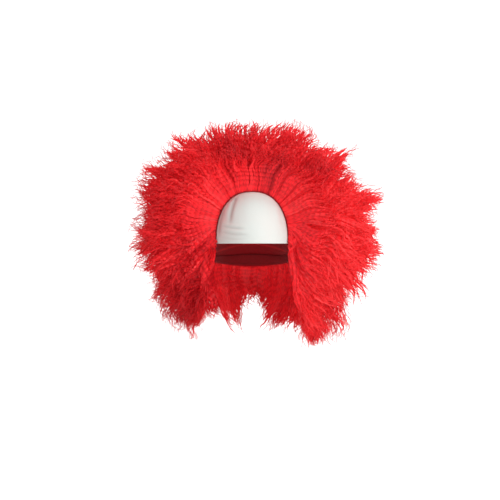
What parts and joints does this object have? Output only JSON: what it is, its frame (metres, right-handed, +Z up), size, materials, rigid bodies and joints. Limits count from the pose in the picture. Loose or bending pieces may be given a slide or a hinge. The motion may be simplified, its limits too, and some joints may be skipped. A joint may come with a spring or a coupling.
{
  "type": "clown wig",
  "caption": "Bald-front clown wig: a white stretch forehead panel set in a cap covered with big crimped red hair, worn on the head.",
  "frame": {"origin": "the point inside the crown of the cap that rests on the top of the head", "axes": "+Z up with the head upright, +X to the wearer's left, -Y the way that the face opening looks"},
  "size_m": [0.4446, 0.3098, 0.3911],
  "materials": {
    "white_stretch": "matte stretch cloth",
    "red_knit": "matte knit",
    "red_elastic": "woven elastic",
    "red_hair": "soft sheen crimped fibre"
  },
  "bodies": {
    "root": {"forehead_panel": "white_stretch", "base_cap": "red_knit", "edge_elastic": "red_elastic", "hairline_weft": "red_hair", "crown_weft": "red_hair", "upper_weft": "red_hair", "middle_weft": "red_hair", "nape_weft": "red_hair"}
  },
  "joints": []
}
